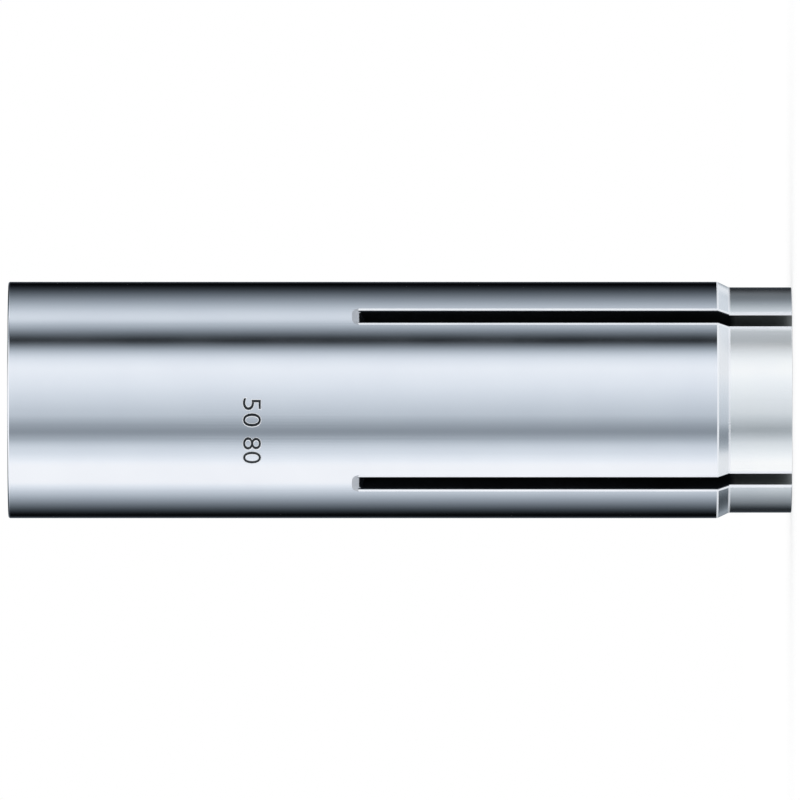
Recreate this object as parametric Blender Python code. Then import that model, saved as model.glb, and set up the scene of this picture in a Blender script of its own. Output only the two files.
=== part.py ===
"""Drop-in anchor: a steel sleeve with four expansion legs, and the tapered plug that waits in its bore.

Metres, +Z up. The origin is the centre of the slotted end, on which the anchor stands.
The mouth, where the bolt goes in, is at the top. The bore is drawn at the crests of its thread.
"""

from math import cos, pi, radians, sin

import bmesh
import bpy
from mathutils import Matrix

# Sleeve, outside
SLEEVE_LENGTH = 0.0500
THREAD_DIAMETER = 0.0120
THREAD_PITCH = 0.00175
WALL_OVER_THREAD = 0.00155
TIP_LENGTH = 0.0040
TIP_STEP = 0.00035
CONE_LENGTH = 0.0008
EDGE_BREAK = 0.00012

# Sleeve, inside
THREAD_DEPTH = 0.0200
COUNTERSINK_LIP = 0.0003
TAPER_LENGTH = 0.0150
TIP_HOLE_DIAMETER = 0.0060
TIP_HOLE_CHAMFER = 0.0003

# Saw slots
SLOT_COUNT = 4
SLOT_WIDTH = 0.0010
SLOT_LENGTH = 0.0280
SLOT_CORNER = 0.0002
SLOT_BREAK = 0.00018
SLOT_RUNOUT = 0.0011
FIRST_SLOT_ANGLE = radians(45)

# Expansion plug
PLUG_LENGTH = 0.0180
PLUG_LAND = 0.0020
PLUG_CHAMFER = 0.0006
PLUG_BELOW_THREAD = 0.0007
PLUG_CLEARANCE = 0.0003
PLUG_STROKE = 0.0060

# Finish
SLEEVE_COLOUR = (0.76, 0.79, 0.83)
SLEEVE_ROUGHNESS = 0.24
PLUG_COLOUR = (0.66, 0.67, 0.68)
PLUG_ROUGHNESS = 0.34

# Meshing
SEGMENTS = 76
CORNER_STEPS = 4
SHARP_ANGLE = radians(40)
CUTTER_MARGIN = 0.0010

# What the sizes above fix
SLEEVE_RADIUS = THREAD_DIAMETER / 2 + WALL_OVER_THREAD
TIP_RADIUS = SLEEVE_RADIUS - TIP_STEP
BORE_RADIUS = (THREAD_DIAMETER - THREAD_PITCH) / 2
COUNTERSINK_RADIUS = THREAD_DIAMETER / 2 + COUNTERSINK_LIP
TIP_HOLE_RADIUS = TIP_HOLE_DIAMETER / 2
PLUG_TOP = SLEEVE_LENGTH - THREAD_DEPTH - PLUG_BELOW_THREAD
PLUG_BOTTOM = PLUG_TOP - PLUG_LENGTH


def clear_scene():
    for leftover in list(bpy.data.objects):
        bpy.data.objects.remove(leftover)


def new_collection(name):
    collection = bpy.data.collections.new(name)
    bpy.context.scene.collection.children.link(collection)
    return collection


def steel(name, colour, roughness):
    material = bpy.data.materials.new(name)
    material.use_nodes = True
    shader = material.node_tree.nodes["Principled BSDF"]
    shader.inputs["Base Color"].default_value = (*colour, 1.0)
    shader.inputs["Metallic"].default_value = 1.0
    shader.inputs["Roughness"].default_value = roughness
    return material


def swept_verts(swept):
    return [item for item in swept["geom"] if isinstance(item, bmesh.types.BMVert)]


def swept_edges(swept):
    return [item for item in swept["geom"] if isinstance(item, bmesh.types.BMEdge)]


def linked_object(name, form, collection):
    bmesh.ops.recalc_face_normals(form, faces=form.faces)
    mesh = bpy.data.meshes.new(name)
    form.to_mesh(mesh)
    form.free()
    piece = bpy.data.objects.new(name, mesh)
    collection.objects.link(piece)
    return piece


def turned(name, profile, collection):
    """A solid round bar with flat ends. The profile is (radius, height) pairs from the bottom up."""
    form = bmesh.new()
    radius, height = profile[0]
    foot = Matrix.Translation((0.0, 0.0, height))
    bmesh.ops.create_circle(form, segments=SEGMENTS, radius=radius, matrix=foot)
    ring = form.edges[:]
    for next_radius, next_height in profile[1:]:
        swept = bmesh.ops.extrude_edge_only(form, edges=ring)
        growth = next_radius / radius
        bmesh.ops.translate(form, verts=swept_verts(swept), vec=(0.0, 0.0, next_height - height))
        bmesh.ops.scale(form, verts=swept_verts(swept), vec=(growth, growth, 1.0))
        ring = swept_edges(swept)
        radius, height = next_radius, next_height
    bmesh.ops.holes_fill(form, edges=form.edges)
    return linked_object(name, form, collection)


def subtract(piece, cutter):
    cutter.hide_render = True
    cutter.display_type = "WIRE"
    cut = piece.modifiers.new(cutter.name, "BOOLEAN")
    cut.operation = "DIFFERENCE"
    cut.solver = "EXACT"
    cut.object = cutter


def finish(piece, material):
    """Keeps the cut shape as the piece's own mesh, so that the edges of its cuts are marked sharp too."""
    graph = bpy.context.evaluated_depsgraph_get()
    shape = bpy.data.meshes.new_from_object(piece.evaluated_get(graph))
    piece.modifiers.clear()
    piece.data = shape
    shape.materials.clear()
    shape.materials.append(material)
    shape.shade_smooth()
    shape.set_sharp_from_angle(angle=SHARP_ANGLE)


def taper_radius(height):
    """Radius of the plain bore at a height: closing from the straight bore down to the hole in the tip."""
    share = min(max(height / TAPER_LENGTH, 0.0), 1.0)
    return TIP_HOLE_RADIUS + share * (BORE_RADIUS - TIP_HOLE_RADIUS)


def bore_cutter(collection):
    """The bore, with its chamfers run on at 45 degrees past both ends of the sleeve."""
    hole = taper_radius(TIP_HOLE_CHAMFER)
    countersink_depth = COUNTERSINK_RADIUS - BORE_RADIUS
    profile = [
        (hole + TIP_HOLE_CHAMFER + CUTTER_MARGIN, -CUTTER_MARGIN),
        (hole, TIP_HOLE_CHAMFER),
        (BORE_RADIUS, TAPER_LENGTH),
        (BORE_RADIUS, SLEEVE_LENGTH - countersink_depth),
        (COUNTERSINK_RADIUS + CUTTER_MARGIN, SLEEVE_LENGTH + CUTTER_MARGIN),
    ]
    return turned("bore", profile, collection)


def slot_ring(form, tip_radius, body_radius, grow):
    """A closed ring round one slot, `grow` wider than the slot all round, at these radii along the sleeve.

    Its end rises with its radius, because the saw leans, and cuts furthest at the surface.
    """
    side = SLOT_WIDTH / 2 + grow
    lean = SLOT_RUNOUT / (SLEEVE_RADIUS - BORE_RADIUS)
    end = SLOT_LENGTH + lean * (body_radius - SLEEVE_RADIUS)
    ring = [
        (tip_radius, side, -CUTTER_MARGIN),
        (tip_radius, side, TIP_LENGTH),
        (body_radius, side, TIP_LENGTH + CONE_LENGTH),
    ]
    for i in range(CORNER_STEPS + 1):
        turn = i / CORNER_STEPS * pi / 2
        across = SLOT_WIDTH / 2 - SLOT_CORNER + (SLOT_CORNER + grow) * cos(turn)
        height = end - SLOT_CORNER + (SLOT_CORNER + grow) * sin(turn)
        ring.append((body_radius, across, height))
    ring += [(radius, -across, height) for radius, across, height in reversed(ring)]
    verts = [form.verts.new(corner) for corner in ring]
    return [form.edges.new((verts[i - 1], verts[i])) for i in range(len(verts))]


def slot_cutter(name, angle, collection):
    """One saw cut from the core outwards, flared where it breaks through, so that it breaks its own edges."""
    core = TIP_HOLE_RADIUS / 2
    flare = SLOT_BREAK + CUTTER_MARGIN
    form = bmesh.new()
    rings = [
        slot_ring(form, core, core, 0.0),
        slot_ring(form, TIP_RADIUS - SLOT_BREAK, SLEEVE_RADIUS - SLOT_BREAK, 0.0),
        slot_ring(form, TIP_RADIUS + CUTTER_MARGIN, SLEEVE_RADIUS + CUTTER_MARGIN, flare),
    ]
    for inner, outer in zip(rings, rings[1:]):
        bmesh.ops.bridge_loops(form, edges=inner + outer)
    bmesh.ops.holes_fill(form, edges=form.edges)
    bmesh.ops.rotate(form, verts=form.verts, matrix=Matrix.Rotation(angle, 3, "Z"))
    return linked_object(name, form, collection)


def build_sleeve(parts, cutters):
    """A bar is turned, sawn and bored."""
    bar = [
        (TIP_RADIUS - EDGE_BREAK, 0.0),
        (TIP_RADIUS, EDGE_BREAK),
        (TIP_RADIUS, TIP_LENGTH),
        (SLEEVE_RADIUS, TIP_LENGTH + CONE_LENGTH),
        (SLEEVE_RADIUS, SLEEVE_LENGTH - EDGE_BREAK),
        (SLEEVE_RADIUS - EDGE_BREAK, SLEEVE_LENGTH),
    ]
    sleeve = turned("anchor_sleeve", bar, parts)
    for i in range(SLOT_COUNT):
        subtract(sleeve, slot_cutter(f"slot_{i + 1}", FIRST_SLOT_ANGLE + i * 2 * pi / SLOT_COUNT, cutters))
    subtract(sleeve, bore_cutter(cutters))
    finish(sleeve, steel("bright_zinc", SLEEVE_COLOUR, SLEEVE_ROUGHNESS))


def build_plug(parts):
    """A short land guides the plug. Its nose is as wide as lets it reach the bore's taper after its stroke."""
    land_radius = BORE_RADIUS - PLUG_CLEARANCE
    shoulder = PLUG_BOTTOM + PLUG_CHAMFER
    nose_radius = taper_radius(shoulder - PLUG_STROKE) - PLUG_CLEARANCE
    profile = [
        (nose_radius - PLUG_CHAMFER, PLUG_BOTTOM),
        (nose_radius, shoulder),
        (land_radius, PLUG_TOP - PLUG_LAND),
        (land_radius, PLUG_TOP - PLUG_CHAMFER),
        (land_radius - PLUG_CHAMFER, PLUG_TOP),
    ]
    plug = turned("expansion_plug", profile, parts)
    finish(plug, steel("plug_zinc", PLUG_COLOUR, PLUG_ROUGHNESS))


def main():
    clear_scene()
    parts = new_collection("drop_in_anchor")
    cutters = new_collection("cutters")
    build_sleeve(parts, cutters)
    build_plug(parts)


main()
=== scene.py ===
from math import atan2, cos, degrees, pi, radians, sin, sqrt, tan

import bmesh
import bpy
from mathutils import Matrix, Vector


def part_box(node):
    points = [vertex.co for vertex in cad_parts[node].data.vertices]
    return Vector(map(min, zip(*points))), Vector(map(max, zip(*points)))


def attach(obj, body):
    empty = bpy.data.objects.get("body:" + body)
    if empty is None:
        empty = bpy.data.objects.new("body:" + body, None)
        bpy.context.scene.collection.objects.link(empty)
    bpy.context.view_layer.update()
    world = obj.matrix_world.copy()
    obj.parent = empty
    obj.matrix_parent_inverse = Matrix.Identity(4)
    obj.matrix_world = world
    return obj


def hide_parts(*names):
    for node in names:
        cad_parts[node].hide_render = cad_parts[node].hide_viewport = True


# Drop-in anchor: a zinc plated steel sleeve with four saw slots, and the plug inside it.
# Pieces are modelled in millimetres round the Z axis, and scaled to metres when they are finished.

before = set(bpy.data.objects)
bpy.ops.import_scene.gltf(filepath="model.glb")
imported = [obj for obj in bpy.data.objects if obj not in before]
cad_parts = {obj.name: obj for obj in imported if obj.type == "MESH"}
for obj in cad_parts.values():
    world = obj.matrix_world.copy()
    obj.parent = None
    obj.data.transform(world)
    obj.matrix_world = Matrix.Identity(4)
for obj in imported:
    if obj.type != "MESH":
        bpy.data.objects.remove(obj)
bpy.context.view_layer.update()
perMm = 1000.0
mergeReach = 0.0001           # mm
normalWeight = 60             # how far the larger faces outweigh the smaller ones


def nodeSize(node):
    # outer radius, bottom and top of a round node, in mm
    low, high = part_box(node)
    return (high.x - low.x) / 2 * perMm, low.z * perMm, high.z * perMm


# Mesh helpers

def newObject(name, form):
    mesh = bpy.data.meshes.new(name)
    form.to_mesh(mesh)
    form.free()
    thing = bpy.data.objects.new(name, mesh)
    bpy.context.scene.collection.objects.link(thing)
    return thing


def chain(form, points):
    # wire through (radius, height) points, in the XZ plane
    verts = [form.verts.new((radius, 0.0, height)) for radius, height in points]
    for first, second in zip(verts, verts[1:]):
        form.edges.new((first, second))
    return verts


def roundCorner(form, vert, size, steps):
    bmesh.ops.bevel(form, geom=[vert], offset=size, offset_type="OFFSET", segments=steps,
                    profile=0.5, affect="VERTICES", material=-1)


def spinRound(form, steps):
    bmesh.ops.spin(form, geom=form.verts[:] + form.edges[:], cent=(0, 0, 0), axis=(0, 0, 1),
                   angle=2 * pi, steps=steps, use_merge=True, use_duplicate=False)
    bmesh.ops.remove_doubles(form, verts=form.verts, dist=mergeReach)
    bmesh.ops.recalc_face_normals(form, faces=form.faces)


def faceOutwards(form):
    bmesh.ops.triangulate(form, faces=form.faces)
    bmesh.ops.recalc_face_normals(form, faces=form.faces)
    if form.calc_volume(signed=True) < 0:
        bmesh.ops.reverse_faces(form, faces=form.faces)


def cutWith(piece, cutter):
    cutter.hide_render = True
    cut = piece.modifiers.new(cutter.name, "BOOLEAN")
    cut.operation = "DIFFERENCE"
    cut.solver = "EXACT"
    cut.object = cutter


def finishPiece(piece, cutters, sharpAngle):
    # takes the cuts into the mesh, then weights the normals by face size and goes to metres
    graph = bpy.context.evaluated_depsgraph_get()
    shape = bpy.data.meshes.new_from_object(piece.evaluated_get(graph))
    piece.modifiers.clear()
    piece.data = shape
    for cutter in cutters:
        bpy.data.objects.remove(cutter)
    shape.transform(Matrix.Scale(1 / perMm, 4))
    shape.shade_smooth()
    shape.set_sharp_from_angle(angle=sharpAngle)
    weighted = piece.modifiers.new("weighted", "WEIGHTED_NORMAL")
    weighted.keep_sharp = True
    weighted.weight = normalWeight


# Finishes

grainLook = {
    "clouds": (260.0, 3.0),       # scale and detail
    "lines": (9000.0, 2.0),
    "pits": (5200.0, 1.0),
    "pitRange": (0.70, 0.78),
    "cloudRange": (0.35, 0.65),
    "softCloudRange": (0.35, 0.7),
    "lineRange": (0.3, 0.7),
    "drawn": (1, 1, 0.02),        # stretches the lines along the bar
    "turned": (0.03, 0.03, 1),    # and round it
    "lineHeight": 0.25,           # as a share of the pits' depth
    "bumpDistance": 0.00001,
}


def newGroup(name, inputs, outputs):
    group = bpy.data.node_groups.new(name, "ShaderNodeTree")
    for label, kind, value in inputs:
        socket = group.interface.new_socket(name=label, in_out="INPUT", socket_type=kind)
        if value is not None:
            socket.default_value = value
    for label, kind in outputs:
        group.interface.new_socket(name=label, in_out="OUTPUT", socket_type=kind)
    start = group.nodes.new("NodeGroupInput")
    end = group.nodes.new("NodeGroupOutput")
    return group, start, end


def maths(tree, operation, first, second):
    node = tree.nodes.new("ShaderNodeMath")
    node.operation = operation
    for socket, value in zip(node.inputs, (first, second)):
        if isinstance(value, (int, float)):
            socket.default_value = value
        else:
            tree.links.new(value, socket)
    return node.outputs[0]


def noise(tree, place, scale, detail):
    node = tree.nodes.new("ShaderNodeTexNoise")
    node.inputs["Scale"].default_value = scale
    node.inputs["Detail"].default_value = detail
    tree.links.new(place, node.inputs["Vector"])
    return node.outputs["Fac"]


def mapRange(tree, value, low, high, newLow, newHigh):
    node = tree.nodes.new("ShaderNodeMapRange")
    node.clamp = True
    for label, number in (("From Min", low), ("From Max", high), ("To Min", newLow), ("To Max", newHigh)):
        node.inputs[label].default_value = number
    tree.links.new(value, node.inputs["Value"])
    return node.outputs["Result"]


def mixColour(tree, amount, first, second):
    node = tree.nodes.new("ShaderNodeMix")
    node.data_type = "RGBA"
    tree.links.new(amount, node.inputs["Factor"])
    for socket, value in ((node.inputs[6], first), (node.inputs[7], second)):
        if isinstance(value, tuple):
            socket.default_value = (*value, 1.0)
        else:
            tree.links.new(value, socket)
    return node.outputs[2]


def makeGrainGroup():
    # drawn and turned steel: soft clouds, fine lines along or round the bar, and small pits
    group, start, end = newGroup(
        "steelGrain",
        [("Place", "NodeSocketVector", None), ("Line Stretch", "NodeSocketVector", grainLook["drawn"])],
        [("Clouds", "NodeSocketFloat"), ("Lines", "NodeSocketFloat"), ("Pits", "NodeSocketFloat")])
    stretched = group.nodes.new("ShaderNodeVectorMath")
    stretched.operation = "MULTIPLY"
    group.links.new(start.outputs["Place"], stretched.inputs[0])
    group.links.new(start.outputs["Line Stretch"], stretched.inputs[1])
    clouds = noise(group, start.outputs["Place"], *grainLook["clouds"])
    lines = noise(group, stretched.outputs[0], *grainLook["lines"])
    pits = noise(group, start.outputs["Place"], *grainLook["pits"])
    group.links.new(clouds, end.inputs["Clouds"])
    group.links.new(lines, end.inputs["Lines"])
    group.links.new(mapRange(group, pits, *grainLook["pitRange"], 0.0, 1.0), end.inputs["Pits"])
    return group


grainGroup = makeGrainGroup()


def newMetal(name, edgeTint):
    material = bpy.data.materials.new(name)
    material.use_nodes = True
    tree = material.node_tree
    shader = tree.nodes["Principled BSDF"]
    shader.inputs["Metallic"].default_value = 1.0
    shader.inputs["Specular Tint"].default_value = (*edgeTint, 1.0)
    return material, tree, shader


def objectPlace(tree):
    return tree.nodes.new("ShaderNodeTexCoord").outputs["Object"]


def placeGrain(tree, place, lineStretch):
    grain = tree.nodes.new("ShaderNodeGroup")
    grain.node_tree = grainGroup
    grain.inputs["Line Stretch"].default_value = lineStretch
    tree.links.new(place, grain.inputs["Place"])
    return grain.outputs


def addBump(tree, shader, height, strength):
    bump = tree.nodes.new("ShaderNodeBump")
    bump.inputs["Strength"].default_value = strength
    bump.inputs["Distance"].default_value = grainLook["bumpDistance"]
    tree.links.new(height, bump.inputs["Height"])
    tree.links.new(bump.outputs["Normal"], shader.inputs["Normal"])


# Sleeve: turned bar, bored, sawn, threaded and stamped

sleeve = {
    "steps": 240,
    "tipStep": 0.35,          # how much smaller the slotted end is, on the radius
    "tipLength": 4.0,
    "coneLength": 0.73,
    "coneRound": 0.06,        # soft corner where the cone meets the body
    "footRound": 0.07,        # and where it meets the tip
    "mouthRound": 0.13,
    "tipRound": 0.05,
    "roundSteps": (3, 2, 4, 5),   # at the tip, the cone's foot, its top and the mouth
    "tipHoleRadius": 3.0,
    "tipHoleChamfer": 0.3,
    "taperLength": 15.0,
    "boreRadius": 5.125,
    "mouthRadius": 6.3,       # of the countersink at the mouth
    "slots": 4,
    "firstSlot": radians(45),
    "slotWidth": 1.0,
    "slotLength": 28.0,
    "slotCorner": 0.2,        # round of the slot's end, at the surface
    "footCorner": 0.16,       # and at the ramp's foot
    "slotLean": 0.35,         # how far the saw's end runs out for each mm of depth
    "rampLength": 0.40,       # shallow slope at the slot's end, down from the surface
    "rampDepth": 0.12,
    "rampShare": 1 / 3,       # of the foot's corner, as light as the ramp
    "lipWidth": 0.44,         # rolled edge of the plating along a slot
    "lipDepth": 0.05,
    "lipEndShare": 0.25,      # how much of that width it has at the slot's end
    "lipSteps": 6,
    "lipEnd": radians(60),
    # painted shade: these lowest lip steps take the slot walls' dark colour, which stands in for shade
    "lipDark": 3,             # how many of its lowest steps are as dark as the slot, on the body
    "flareRise": 0.085,       # how the cutter runs on from the lip, out of the steel
    "flareGrow": 0.16,
    "sharpAngle": radians(22),
}

thread = {
    "pitch": 1.75,
    "rootShare": 1 / 16,      # of the pitch, half the flat at the root
    "rootRadius": 6.0,
    "innerRadius": 4.85,      # where the groove's cutter stands inside the bore
    "depth": 20.0,
    "flank": radians(30),
    "steps": 90,
}

stamp = {
    "text": "50 80",
    "size": 1.66,
    "foot": 34.98,            # height of the figures' feet on the sleeve
    "start": -0.16,           # where the first figure starts, along the sleeve's outside
    "length": 4.5,
    "depth": 0.05,
    "bolder": 0.03,           # added to the strokes on each side
    "slope": 0.04,            # how much narrower the strokes are at their floor, on each side
    "proud": 0.08,            # how far the cutter stands out of the steel
    "curveSteps": 4,
}

cutterReach = 1.0             # how far cutters run past the steel
# material indices; the slot walls' dark steel (sawn) is painted shade, and the finishes of the edge lines
# paint highlights
body, cone, tip, paintedHighlight, paintedFootHighlight, faced, sawn, ramp, stamped, bored = range(10)


def makeTurnedBar(radius, top):
    tipRadius = radius - sleeve["tipStep"]
    hole = sleeve["tipHoleRadius"]
    chamfer = sleeve["tipHoleChamfer"]
    bore = sleeve["boreRadius"]
    mouth = sleeve["mouthRadius"]
    form = bmesh.new()
    verts = chain(form, [
        (hole + chamfer, 0.0),
        (tipRadius, 0.0),
        (tipRadius, sleeve["tipLength"]),
        (radius, sleeve["tipLength"] + sleeve["coneLength"]),
        (radius, top),
        (mouth, top),
        (bore, top - (mouth - bore)),
        (bore, sleeve["taperLength"]),
        (hole, chamfer),
    ])
    form.edges.new((verts[-1], verts[0]))
    rounds = ("tipRound", "footRound", "coneRound", "mouthRound")
    for vert, name, steps in zip(verts[1:5], rounds, sleeve["roundSteps"]):
        roundCorner(form, vert, sleeve[name], steps)
    spinRound(form, sleeve["steps"])
    coneFoot = sleeve["tipLength"]
    coneTop = coneFoot + sleeve["coneLength"]
    # of these finishes, the slotted end's paler plating is painted light, the cone's darker plating
    # painted shade, and the rounds at the cone's foot and top painted highlights
    for face in form.faces:
        middle = face.calc_center_median()
        if not mergeReach < middle.z < top - mergeReach:
            face.material_index = faced
        elif middle.xy.length < tipRadius - sleeve["tipStep"]:
            face.material_index = cone if middle.z > top - (mouth - bore) else bored
        elif middle.z < coneFoot - sleeve["footRound"]:
            face.material_index = tip
        elif middle.z < coneFoot + sleeve["footRound"]:
            face.material_index = paintedFootHighlight
        elif middle.z < coneTop - sleeve["coneRound"]:
            face.material_index = cone
        elif middle.z < coneTop + sleeve["coneRound"]:
            face.material_index = paintedHighlight
    return newObject("anchorSleeve", form)


def slotRing(form, radius, tipRadius, side, end, corner, rounded):
    # one level of a slot's cutter: up one side, round the end and down the other

    def onRound(levelRadius, across, height):
        # a level near the surface follows the round of the bar, so the lip is as wide all along
        drop = levelRadius - sqrt(levelRadius ** 2 - across ** 2) if rounded else 0.0
        return Vector((levelRadius - drop, across, height))

    half = [
        onRound(tipRadius, side, -cutterReach),
        onRound(tipRadius, side, sleeve["tipLength"]),
        onRound(radius, side, sleeve["tipLength"] + sleeve["coneLength"]),
    ]
    for step in range(sleeve["lipSteps"] + 1):
        turn = step / sleeve["lipSteps"] * pi / 2
        across = side - corner + corner * cos(turn)
        half.append(onRound(radius, across, end - corner + corner * sin(turn)))
    ring = half + [Vector((place.x, -place.y, place.z)) for place in reversed(half)]
    verts = [form.verts.new(place) for place in ring]
    return [form.edges.new((verts[i - 1], verts[i])) for i in range(len(verts))]


def slotLevels(radius):
    # radius, half width, end height and corner of each level: walls with a ramp at the end, then the lip
    half = sleeve["slotWidth"] / 2
    width, depth = sleeve["lipWidth"], sleeve["lipDepth"]
    foot = sleeve["slotLength"] - sleeve["rampLength"]
    rampRise = sleeve["rampDepth"] - depth
    levels = [(radius - sleeve["rampDepth"], half, foot, sleeve["footCorner"])]
    for step in range(sleeve["lipSteps"] + 1):
        turn = step / sleeve["lipSteps"] * sleeve["lipEnd"]
        rise, grow = depth * sin(turn), width * (1 - cos(turn))
        slope = (rampRise + rise) / sleeve["rampDepth"] * sleeve["rampLength"]
        levels.append((radius - depth + rise, half + grow, foot + slope + grow * sleeve["lipEndShare"],
                       sleeve["slotCorner"] + grow))
    rise, grow = sleeve["flareRise"], sleeve["flareGrow"]
    level, side, end, corner = levels[-1]
    levels.append((level + rise, side + grow, end + grow, corner + grow))
    return levels


def makeSlotCutter(number, radius):
    tipStep = sleeve["tipStep"]
    core = sleeve["tipHoleRadius"] / 2
    levels = slotLevels(radius)
    form = bmesh.new()
    foot = levels[0][2] - sleeve["slotLean"] * (levels[0][0] - core)
    lower = slotRing(form, core, core, levels[0][1], foot, sleeve["footCorner"], False)
    for index, (level, side, end, corner) in enumerate(levels):
        upper = slotRing(form, level, level - tipStep, side, end, corner, True)
        walls = bmesh.ops.bridge_loops(form, edges=lower + upper)
        for face in walls["faces"]:
            middle = face.calc_center_median()
            atEnd = middle.z > levels[0][2] - sleeve["footCorner"] * sleeve["rampShare"]
            # lip steps take a painted highlight; the walls and, on the body, the lowest lip steps take
            # the slot's painted shade
            onLip = index > 1 + (sleeve["lipDark"] if middle.z > sleeve["tipLength"] else 0)
            face.material_index = ramp if atEnd and index else paintedHighlight if onLip else sawn
        lower = upper
    bmesh.ops.holes_fill(form, edges=form.edges)
    faceOutwards(form)
    turned = sleeve["firstSlot"] + number * 2 * pi / sleeve["slots"]
    bmesh.ops.rotate(form, verts=form.verts, matrix=Matrix.Rotation(turned, 3, "Z"))
    return newObject("slotCutter", form)


def makeThreadCutter(top):
    # a V groove with a flat root, wound from below the thread to past the mouth
    root = thread["pitch"] * thread["rootShare"]
    mouth = root + (thread["rootRadius"] - thread["innerRadius"]) * tan(thread["flank"])
    foot = top - thread["depth"]
    turns = (thread["depth"] + thread["pitch"]) / thread["pitch"]
    count = int(turns * thread["steps"])
    form = bmesh.new()
    corners = chain(form, [
        (thread["innerRadius"], foot - mouth),
        (thread["rootRadius"], foot - root),
        (thread["rootRadius"], foot + root),
        (thread["innerRadius"], foot + mouth),
    ])
    form.edges.new((corners[-1], corners[0]))
    bmesh.ops.spin(form, geom=form.verts[:] + form.edges[:], cent=(0, 0, 0), axis=(0, 0, 1),
                   dvec=(0, 0, thread["pitch"] / thread["steps"]),
                   angle=count / thread["steps"] * 2 * pi, steps=count,
                   use_merge=False, use_duplicate=False)
    bmesh.ops.holes_fill(form, edges=form.edges)
    faceOutwards(form)
    for face in form.faces:
        face.material_index = bored
    return newObject("threadCutter", form)


def makeStampCutter(radius):
    # plain figures, bent round the side that faces -Y and read towards -X
    words = bpy.data.curves.new("figures", "FONT")
    words.body = stamp["text"]
    words.size = stamp["size"]
    words.offset = stamp["bolder"]
    words.resolution_u = stamp["curveSteps"]
    holder = bpy.data.objects.new("figures", words)
    bpy.context.scene.collection.objects.link(holder)
    graph = bpy.context.evaluated_depsgraph_get()
    flat = bpy.data.meshes.new_from_object(holder.evaluated_get(graph))
    bpy.data.objects.remove(holder)
    form = bmesh.new()
    form.from_mesh(flat)
    bmesh.ops.remove_doubles(form, verts=form.verts, dist=mergeReach)
    floor = form.faces[:]
    above = bmesh.ops.extrude_face_region(form, geom=floor)["geom"]
    raised = [item for item in above if isinstance(item, bmesh.types.BMVert)]
    bmesh.ops.translate(form, verts=raised, vec=(0, 0, stamp["proud"]))
    bmesh.ops.inset_region(form, faces=floor, thickness=stamp["slope"], use_even_offset=True,
                           use_boundary=True)
    sunk = list({vert for face in floor for vert in face.verts})
    bmesh.ops.translate(form, verts=sunk, vec=(0, 0, -stamp["depth"]))
    left = min(vert.co.x for vert in form.verts)
    wide = max(vert.co.x for vert in form.verts) - left
    for vert in form.verts:
        along = stamp["start"] + (vert.co.x - left) / wide * stamp["length"]
        reach = radius + vert.co.z
        turn = along / radius
        vert.co = Vector((-reach * sin(turn), -reach * cos(turn), stamp["foot"] - vert.co.y))
    faceOutwards(form)
    # the figures' walls take a painted highlight, and their floors are near black
    for face in form.faces:
        onWall = face.calc_center_median().xy.length > radius - stamp["depth"] + mergeReach
        face.material_index = paintedHighlight if onWall else stamped
    return newObject("stampCutter", form)


def makePlating(name, finish):
    # bright zinc plating, with faint clouds, drawn lines and pits
    material, tree, shader = newMetal(name, finish["edgeTint"])
    shader.inputs["Metallic"].default_value = finish["metal"]
    shader.inputs["Anisotropic"].default_value = finish["turned"]
    shader.inputs["Anisotropic Rotation"].default_value = 0.25     # tall highlights, across the turning
    place = objectPlace(tree)
    grain = placeGrain(tree, place, grainLook["drawn"])
    clouds = mapRange(tree, grain["Clouds"], *grainLook["softCloudRange"], 0.0, 1.0)
    tree.links.new(mixColour(tree, clouds, finish["colour"], finish["cloudColour"]),
                   shader.inputs["Base Color"])
    gloss, spread = finish["gloss"], finish["glossSpread"]
    smooth = mapRange(tree, grain["Clouds"], *grainLook["lineRange"], gloss - spread, gloss + spread)
    lined = mapRange(tree, grain["Lines"], *grainLook["lineRange"], -spread / 2, spread / 2)
    tree.links.new(maths(tree, "ADD", smooth, lined), shader.inputs["Roughness"])
    proud = maths(tree, "MULTIPLY", grain["Lines"], grainLook["lineHeight"])
    addBump(tree, shader, maths(tree, "SUBTRACT", proud, grain["Pits"]), finish["bump"])
    return material


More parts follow.
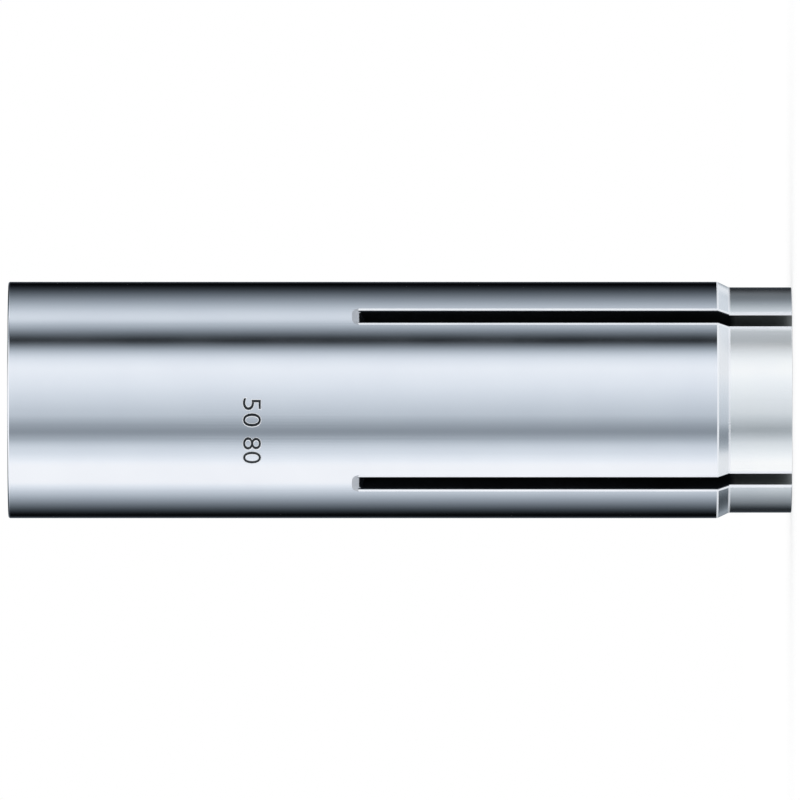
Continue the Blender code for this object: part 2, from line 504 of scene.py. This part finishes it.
platings = {
    "bodyZinc": {"colour": (0.88, 0.905, 0.955), "cloudColour": (0.86, 0.885, 0.94),
                 "edgeTint": (0.30, 0.32, 0.35), "metal": 1.0, "turned": 0.0,
                 "gloss": 0.12, "glossSpread": 0.012, "bump": 0.05},
    # painted shade: the cone and the mouth's countersink take a darker copy of the plating
    "coneZincPaintedShade": {"colour": (0.81, 0.84, 0.88), "cloudColour": (0.79, 0.82, 0.86),
                 "edgeTint": (1, 1, 1), "metal": 1.0, "turned": 0.0,
                 "gloss": 0.2, "glossSpread": 0.02, "bump": 0.05},
    # painted light: a paler copy of the plating brightens the slotted end, whose gloss is spread by the
    # turning
    "tipZincPaintedLight": {"colour": (0.98, 0.995, 1.0), "cloudColour": (0.96, 0.98, 1.0),
                "edgeTint": (0.30, 0.31, 0.33), "metal": 1.0, "turned": 1.0,
                "gloss": 0.25, "glossSpread": 0.02, "bump": 0.05},
    # painted highlight: a near white, mostly unmetallic finish, so that the lips of the slots, the cone's
    # top round and the walls of the figures show as bright lines under any light
    "paintedHighlightEdge": {"colour": (0.93, 0.96, 1.0), "cloudColour": (0.86, 0.89, 0.94),
                   "edgeTint": (1, 1, 1), "metal": 0.3, "turned": 0.0,
                   "gloss": 0.4, "glossSpread": 0.04, "bump": 0.1},
    # painted highlight: the round at the cone's foot, near white and partly unmetallic, shows as a bright
    # line
    "paintedFootHighlight": {"colour": (0.95, 0.97, 1.0), "cloudColour": (0.90, 0.92, 0.96),
                 "edgeTint": (1, 1, 1), "metal": 0.65, "turned": 0.0,
                 "gloss": 0.3, "glossSpread": 0.03, "bump": 0.1},
    "facedZinc": {"colour": (0.90, 0.92, 0.95), "cloudColour": (0.86, 0.88, 0.92),
                  "edgeTint": (1, 1, 1), "metal": 0.75, "turned": 0.0,
                  "gloss": 0.34, "glossSpread": 0.03, "bump": 0.15},
}

darkSteels = {
    # painted shade: the slot walls are near black, though plated like the rest; the lighter colour
    # towards the ends of the legs is painted light
    "sawnSteelPaintedShade": {"dark": (0.050, 0.056, 0.066), "light": (0.070, 0.078, 0.092), "gloss": 0.5,
                  "tipPaintedLight": (0.34, 0.36, 0.36), "tipFade": 0.4},
    "rampSteel": {"dark": (0.62, 0.64, 0.68), "light": (0.70, 0.72, 0.76), "gloss": 0.6},
    "stampedSteel": {"dark": (0.03, 0.035, 0.04), "light": (0.05, 0.055, 0.06), "gloss": 0.45},
    "boredSteel": {"dark": (0.30, 0.31, 0.33), "light": (0.38, 0.39, 0.41), "gloss": 0.32},
}
darkSpread = 0.05             # how far their gloss wanders
darkBump = 0.1

# steel inside cuts, darker than the plating; on the slot walls this dark colour is painted shade

def makeDarkSteel(name, finish):
    # steel inside cuts, where the plating hardly reaches and oil stays
    material, tree, shader = newMetal(name, (1, 1, 1))
    place = objectPlace(tree)
    grain = placeGrain(tree, place, grainLook["drawn"])
    clouds = mapRange(tree, grain["Clouds"], *grainLook["cloudRange"], 0.0, 1.0)
    colour = mixColour(tree, clouds, finish["dark"], finish["light"])
    if "tipPaintedLight" in finish:
        # painted light: the slots are a little lighter between the ends of the legs, where light comes in
        split = tree.nodes.new("ShaderNodeSeparateXYZ")
        tree.links.new(place, split.inputs[0])
        near = mapRange(tree, split.outputs["Z"], sleeve["tipLength"] / perMm,
                        (sleeve["tipLength"] - finish["tipFade"]) / perMm, 0.0, 1.0)
        colour = mixColour(tree, near, colour, finish["tipPaintedLight"])
    tree.links.new(colour, shader.inputs["Base Color"])
    gloss = finish["gloss"]
    tree.links.new(mapRange(tree, grain["Lines"], *grainLook["lineRange"],
                            gloss - darkSpread, gloss + darkSpread), shader.inputs["Roughness"])
    addBump(tree, shader, grain["Lines"], darkBump)
    return material


def makeSleeve():
    radius, _, top = nodeSize("anchor_sleeve")
    piece = makeTurnedBar(radius, top)
    for name, finish in platings.items():
        piece.data.materials.append(makePlating(name, finish))
    for name, finish in darkSteels.items():
        piece.data.materials.append(makeDarkSteel(name, finish))
    cutters = [makeSlotCutter(number, radius) for number in range(sleeve["slots"])]
    cutters += [makeThreadCutter(top), makeStampCutter(radius)]
    for cutter in cutters:
        cutWith(piece, cutter)
    finishPiece(piece, cutters, sleeve["sharpAngle"])
    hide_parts("anchor_sleeve")
    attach(piece, "sleeve")
    print("sleeve:", len(piece.data.polygons), "faces")


# Plug: a turned taper with a short guide land on top

plug = {
    "steps": 160,
    "land": 2.0,
    "chamfer": 0.6,
    "round": 0.15,
    "roundSteps": 3,
    "noseRadius": 3.54,
    "centreMark": 0.45,       # radius of the lathe centre's mark
    "centreDepth": 0.1,
    "sharpAngle": radians(22),
}

plugSteel = {
    "dark": (0.60, 0.61, 0.63),
    "light": (0.70, 0.71, 0.72),
    "edgeTint": (0.5, 0.5, 0.5),
    "gloss": 0.3,
    "glossSpread": 0.04,
    "ringRate": 36000.0,      # of the rings left by the lathe, in radians a metre
    "bump": 0.12,
}


def makePlugSteel():
    # plain steel, with rings left by the lathe
    material, tree, shader = newMetal("turnedSteel", plugSteel["edgeTint"])
    place = objectPlace(tree)
    grain = placeGrain(tree, place, grainLook["turned"])
    split = tree.nodes.new("ShaderNodeSeparateXYZ")
    tree.links.new(place, split.inputs[0])
    square = maths(tree, "ADD", maths(tree, "POWER", split.outputs["X"], 2.0),
                   maths(tree, "POWER", split.outputs["Y"], 2.0))
    reach = maths(tree, "ADD", maths(tree, "POWER", square, 0.5), split.outputs["Z"])
    rings = maths(tree, "SINE", maths(tree, "MULTIPLY", reach, plugSteel["ringRate"]), 0.0)
    clouds = mapRange(tree, grain["Clouds"], *grainLook["cloudRange"], 0.0, 1.0)
    tree.links.new(mixColour(tree, clouds, plugSteel["dark"], plugSteel["light"]),
                   shader.inputs["Base Color"])
    gloss, spread = plugSteel["gloss"], plugSteel["glossSpread"]
    tree.links.new(mapRange(tree, grain["Lines"], *grainLook["lineRange"], gloss - spread,
                            gloss + spread), shader.inputs["Roughness"])
    addBump(tree, shader, rings, plugSteel["bump"])
    return material


def makePlug():
    radius, foot, top = nodeSize("expansion_plug")
    chamfer = plug["chamfer"]
    form = bmesh.new()
    verts = chain(form, [
        (0.0, foot),
        (plug["noseRadius"] - chamfer, foot),
        (plug["noseRadius"], foot + chamfer),
        (radius, top - plug["land"]),
        (radius, top - chamfer),
        (radius - chamfer, top),
        (plug["centreMark"], top),
        (0.0, top - plug["centreDepth"]),
    ])
    for corner in verts[1:6]:
        roundCorner(form, corner, plug["round"], plug["roundSteps"])
    spinRound(form, plug["steps"])
    piece = newObject("expansionPlug", form)
    piece.data.materials.append(makePlugSteel())
    finishPiece(piece, [], plug["sharpAngle"])
    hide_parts("expansion_plug")
    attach(piece, "plug")
    print("plug:", len(piece.data.polygons), "faces")


# Studio: white surroundings, with soft grey flags that the metal mirrors

studio = {
    "ringRadius": 1000.0,
    "ringStep": 1,            # degrees, round the ring
    "heightStep": 2,          # and up it
    "ringLow": -70,
    "ringHigh": 70,
    "seamReach": 0.001,       # merges the ends of the ring
    "gamma": 2.2,             # the flags' greys are as the screen shows them
    "floorRadius": 300.0,
    "floorGap": 0.02,         # keeps the floor off the face that stands on it
    "floorSteps": 96,
    "floorColour": (0.6, 0.6, 0.6, 1.0),
    "floorGlow": 0.42,        # with the light that falls on it, this makes the floor white
    "white": (1.0, 1.0, 1.0, 1.0),
    "cool": (0.83, 1.0, 1.16),    # tint of the flags, the more the darker they are
}

# Each flag's middle is an azimuth in degrees from the camera towards +X. It takes `dark` of the light
# there, and clears over `before` and `after` degrees, the steeper the higher its `curve`.
# It hangs between `low` and `high` degrees of height, and fades out past them.
flags = [
    {"middle": 60, "dark": 0.92, "before": 29, "after": 45, "curve": 2.4, "low": -3, "high": 3},
    {"middle": 36, "dark": 0.04, "before": 22, "after": 18, "curve": 1.0, "low": -3, "high": 3},
    {"middle": 62, "dark": 0.42, "before": 32, "after": 24, "curve": 1.5, "low": -31, "high": -28},
    {"middle": 78, "dark": 0.70, "before": 18, "after": 12, "curve": 0.8, "low": 13, "high": 70},
    {"middle": -30, "dark": 0.29, "before": 36, "after": 60, "curve": 1.08, "low": -34, "high": 8},
    {"middle": -30, "dark": 0.20, "before": 36, "after": 60, "curve": 1.08, "low": -60, "high": -44},
    {"middle": -32, "dark": 0.21, "before": 13, "after": 18, "curve": 1.0, "low": -22, "high": 24},
    {"middle": -45, "dark": 0.36, "before": 18, "after": 15, "curve": 0.35, "low": -60, "high": -36},
    {"middle": 118, "dark": 0.08, "before": 40, "after": 40, "curve": 1.0, "low": -37, "high": -15},
    {"middle": 128, "dark": 0.50, "before": 24, "after": 14, "curve": 1.0, "low": -13, "high": -10},
    {"middle": 156, "dark": 0.97, "before": 70, "after": 30, "curve": 1.0, "low": -3, "high": 4},
    {"middle": 156, "dark": 0.98, "before": 60, "after": 30, "curve": 1.0, "low": 14, "high": 70},
    {"middle": 165, "dark": 0.55, "before": 32, "after": 32, "curve": 1.3, "low": -60, "high": -27},
    {"middle": -154, "dark": 0.97, "before": 30, "after": 65, "curve": 1.04, "low": -3, "high": 4},
    {"middle": -154, "dark": 0.90, "before": 30, "after": 54, "curve": 1.0, "low": 14, "high": 70},
    {"middle": -126, "dark": 0.70, "before": 50, "after": 32, "curve": 0.6, "low": -37, "high": -18},
    {"middle": -150, "dark": 0.32, "before": 40, "after": 16, "curve": 0.8, "low": -21, "high": -7},
]
flagFade = 8.0                # degrees


def ringGrey(azimuth, height):
    grey = 1.0
    for flag in flags:
        off = (azimuth - flag["middle"] + 180) % 360 - 180
        width = flag["after"] if off > 0 else flag["before"]
        side = max(0.0, 1 - abs(off) / width) ** flag["curve"]
        past = max(flag["low"] - height, height - flag["high"], 0.0)
        grey *= 1 - flag["dark"] * side * max(0.0, 1 - past / flagFade)
    return grey


def makeRing(middle):
    # a band round the object, seen only in the metal, with its greys in a colour attribute
    form = bmesh.new()
    radius = studio["ringRadius"]
    heights = range(studio["ringLow"], studio["ringHigh"] + 1, studio["heightStep"])
    chain(form, [(radius * cos(radians(angle)), radius * sin(radians(angle))) for angle in heights])
    bmesh.ops.spin(form, geom=form.verts[:] + form.edges[:], cent=(0, 0, 0), axis=(0, 0, 1),
                   angle=2 * pi, steps=360 // studio["ringStep"], use_merge=True, use_duplicate=False)
    bmesh.ops.remove_doubles(form, verts=form.verts, dist=studio["seamReach"])
    glow = form.verts.layers.float_color.new("glow")
    for vert in form.verts:
        azimuth = degrees(atan2(vert.co.x, -vert.co.y))
        height = degrees(atan2(vert.co.z, vert.co.xy.length))
        grey = ringGrey(azimuth, height)
        light = grey ** studio["gamma"]
        vert[glow] = [light * (1 + (shade - 1) * sqrt(1 - grey)) for shade in studio["cool"]] + [1.0]
    bmesh.ops.translate(form, verts=form.verts, vec=(0, 0, middle))
    bmesh.ops.scale(form, verts=form.verts, vec=(1 / perMm,) * 3)
    ring = newObject("flagRing", form)
    material = bpy.data.materials.new("flagCloth")
    material.use_nodes = True
    tree = material.node_tree
    tree.nodes.remove(tree.nodes["Principled BSDF"])
    shade = tree.nodes.new("ShaderNodeAttribute")
    shade.attribute_name = "glow"
    light = tree.nodes.new("ShaderNodeEmission")
    tree.links.new(shade.outputs["Color"], light.inputs["Color"])
    tree.links.new(light.outputs[0], tree.nodes["Material Output"].inputs["Surface"])
    ring.data.materials.append(material)
    ring.visible_camera = False
    ring.visible_diffuse = False
    ring.visible_shadow = False
    ring.visible_transmission = False


def makeFloor():
    # white, and clear from below, so that the anchor can be seen from there too
    form = bmesh.new()
    bmesh.ops.create_circle(form, cap_ends=True, segments=studio["floorSteps"],
                            radius=studio["floorRadius"] / perMm)
    bmesh.ops.translate(form, verts=form.verts, vec=(0, 0, -studio["floorGap"] / perMm))
    floor = newObject("floor", form)
    material = bpy.data.materials.new("floorPaint")
    material.use_nodes = True
    tree = material.node_tree
    shader = tree.nodes["Principled BSDF"]
    shader.inputs["Base Color"].default_value = studio["floorColour"]
    shader.inputs["Roughness"].default_value = 1.0
    shader.inputs["Specular IOR Level"].default_value = 0.0
    shader.inputs["Emission Color"].default_value = studio["white"]
    shader.inputs["Emission Strength"].default_value = studio["floorGlow"]
    under = tree.nodes.new("ShaderNodeNewGeometry").outputs["Backfacing"]
    tree.links.new(maths(tree, "SUBTRACT", 1.0, under), shader.inputs["Alpha"])
    floor.data.materials.append(material)
    floor.visible_glossy = False


def makeWorld():
    world = bpy.data.worlds.new("whiteRoom")
    world.use_nodes = True
    sky = world.node_tree.nodes["Background"]
    sky.inputs["Color"].default_value = studio["white"]
    sky.inputs["Strength"].default_value = 1.0
    bpy.context.scene.world = world


# Camera: level, square to the side, and turned so that the anchor lies across the picture

camera = {
    "lens": 1600.0,
    "sensor": 36.0,
    "frameWidth": 51.1,       # mm of the object across the picture
    "middle": (0.0, 24.99),   # X and Z at the picture's middle
    "clipEnd": 10.0,          # metres
}


def makeCamera():
    lens = bpy.data.cameras.new("view")
    lens.lens = camera["lens"]
    lens.sensor_width = camera["sensor"]
    lens.clip_end = camera["clipEnd"]
    distance = camera["frameWidth"] * camera["lens"] / camera["sensor"]
    across, up = camera["middle"]
    turned = Matrix(((0, 1, 0), (0, 0, -1), (-1, 0, 0)))     # looks along +Y, with +X up
    holder = bpy.data.objects.new("view", lens)
    holder.location = Vector((across, -distance, up)) / perMm
    holder.rotation_euler = turned.to_euler()
    bpy.context.scene.collection.objects.link(holder)
    bpy.context.scene.camera = holder


makeSleeve()
makePlug()
makeRing(nodeSize("anchor_sleeve")[2] / 2)
makeFloor()
makeWorld()
makeCamera()
bpy.context.scene.view_settings.view_transform = "Standard"
print("scene is set")
